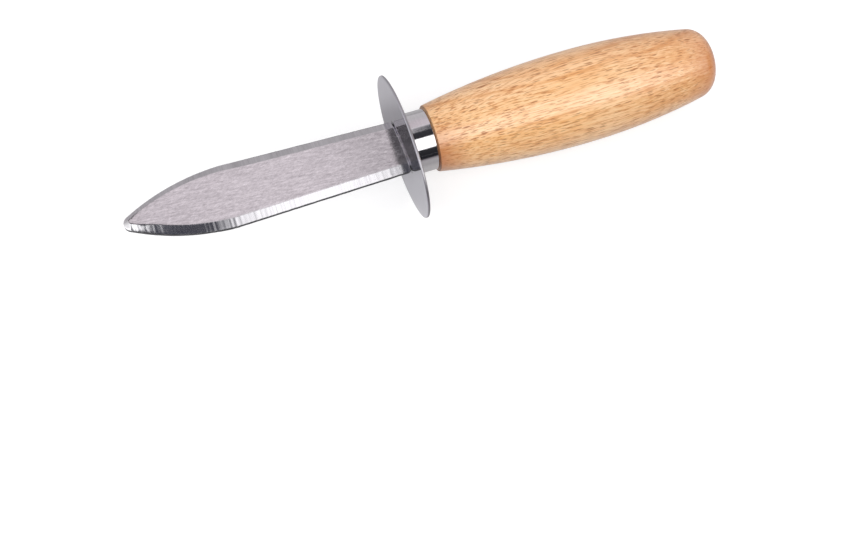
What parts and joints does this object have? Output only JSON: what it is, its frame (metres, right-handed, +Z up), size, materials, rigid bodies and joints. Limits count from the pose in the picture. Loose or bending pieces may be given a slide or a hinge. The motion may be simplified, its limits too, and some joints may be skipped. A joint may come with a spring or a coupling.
{
  "type": "oyster knife",
  "caption": "Short leaf-shaped blade with ground edges, an oval guard plate, a steel ferrule and a turned barrel handle in wood.",
  "frame": {"origin": "on the surface that the knife lies on, below the middle of its length, in the upright plane through its axis", "axes": "+X along the knife's axis from tip to butt, +Y across the blade, +Z up, square to the blade's flat"},
  "size_m": [0.156, 0.04, 0.0304],
  "materials": {
    "blade_steel": "brushed along the blade, ground across its edges",
    "guard_steel": "polished",
    "ferrule_steel": "polished",
    "lacquered_wood": "pale open-pored wood under clear lacquer",
    "cured_resin": "hardened, dull"
  },
  "bodies": {
    "root": {"blade": "blade_steel", "guard": "guard_steel", "ferrule": "ferrule_steel", "handle": "lacquered_wood", "tang_resin": "cured_resin"}
  },
  "joints": []
}
